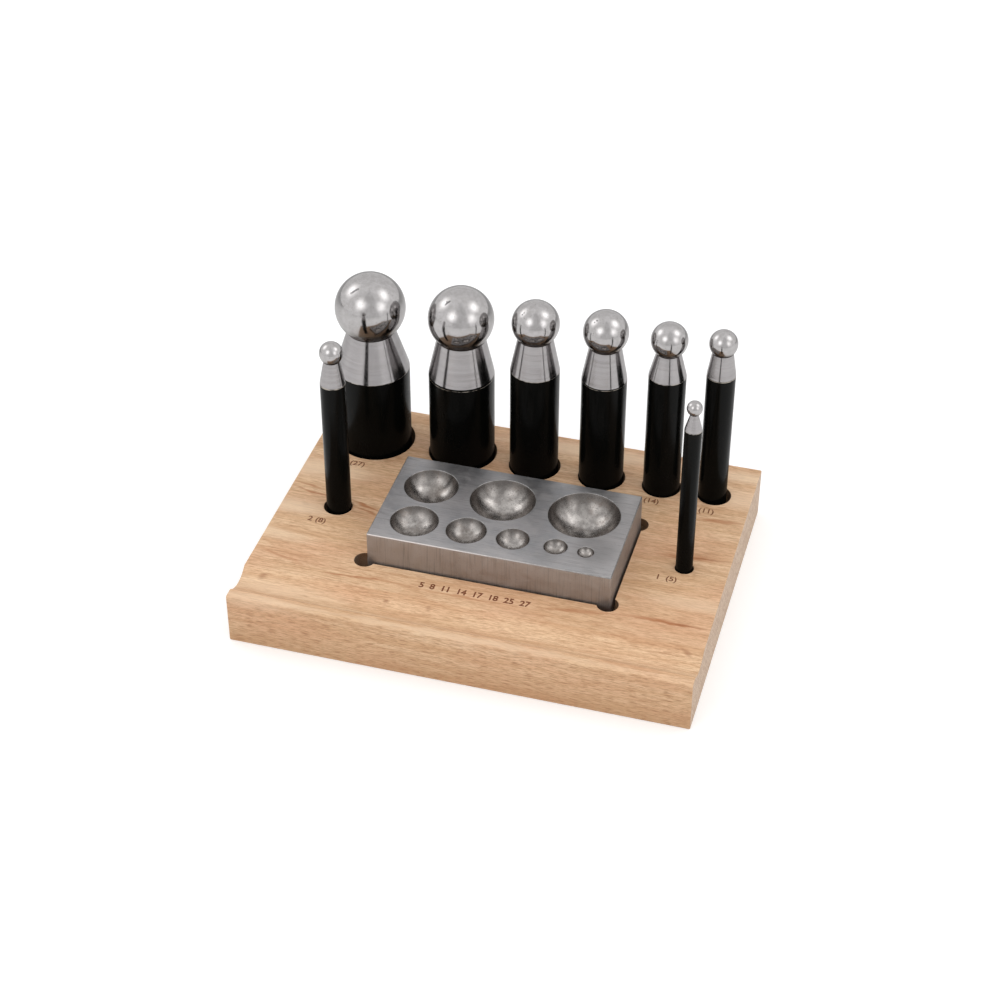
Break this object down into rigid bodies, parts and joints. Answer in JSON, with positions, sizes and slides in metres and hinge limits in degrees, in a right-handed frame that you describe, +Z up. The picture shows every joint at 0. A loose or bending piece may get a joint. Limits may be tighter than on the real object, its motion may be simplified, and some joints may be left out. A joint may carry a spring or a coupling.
{
  "type": "dapping block set",
  "caption": "Steel dapping block with bowl-shaped hollows, in a wooden stand that also holds ball-headed doming punches.",
  "frame": {"origin": "middle of the stand's flat underside, on the surface that it stands on", "axes": "+X along the stand's front edge, towards the thinnest punch of the back row; +Y from the grooved front lip to the row of punches at the back; +Z up"},
  "size_m": [0.1714, 0.1274, 0.0955],
  "materials": {
    "beech": "bare beech, sanded, with the grain along X",
    "ground_steel": "ground faces, with darker mottled bowls",
    "polished_steel": "polished bearing ball",
    "black_finish": "glossy black bar with a bright turned nose"
  },
  "bodies": {
    "stand": {"stand": "beech"},
    "block": {"dapping_block": "ground_steel"},
    "punch_27": {"punch_27_shank": "black_finish", "punch_27_ball": "polished_steel"},
    "punch_25": {"punch_25_shank": "black_finish", "punch_25_ball": "polished_steel"},
    "punch_18": {"punch_18_shank": "black_finish", "punch_18_ball": "polished_steel"},
    "punch_17": {"punch_17_shank": "black_finish", "punch_17_ball": "polished_steel"},
    "punch_14": {"punch_14_shank": "black_finish", "punch_14_ball": "polished_steel"},
    "punch_11": {"punch_11_shank": "black_finish", "punch_11_ball": "polished_steel"},
    "punch_8": {"punch_8_shank": "black_finish", "punch_8_ball": "polished_steel"},
    "punch_5": {"punch_5_shank": "black_finish", "punch_5_ball": "polished_steel"}
  },
  "joints": [
    {"name": "block_lift", "type": "slide", "parent": "stand", "child": "block", "axis": [0, 0, 1], "range_m": [0, 0.02]},
    {"name": "punch_27_lift", "type": "slide", "parent": "stand", "child": "punch_27", "axis": [0, 0, 1], "range_m": [0, 0.03]},
    {"name": "punch_25_lift", "type": "slide", "parent": "stand", "child": "punch_25", "axis": [0, 0, 1], "range_m": [0, 0.03]},
    {"name": "punch_18_lift", "type": "slide", "parent": "stand", "child": "punch_18", "axis": [0, 0, 1], "range_m": [0, 0.03]},
    {"name": "punch_17_lift", "type": "slide", "parent": "stand", "child": "punch_17", "axis": [0, 0, 1], "range_m": [0, 0.03]},
    {"name": "punch_14_lift", "type": "slide", "parent": "stand", "child": "punch_14", "axis": [0, 0, 1], "range_m": [0, 0.03]},
    {"name": "punch_11_lift", "type": "slide", "parent": "stand", "child": "punch_11", "axis": [0, 0, 1], "range_m": [0, 0.03]},
    {"name": "punch_8_lift", "type": "slide", "parent": "stand", "child": "punch_8", "axis": [0, 0, 1], "range_m": [0, 0.03]},
    {"name": "punch_5_lift", "type": "slide", "parent": "stand", "child": "punch_5", "axis": [0, 0, 1], "range_m": [0, 0.03]}
  ]
}
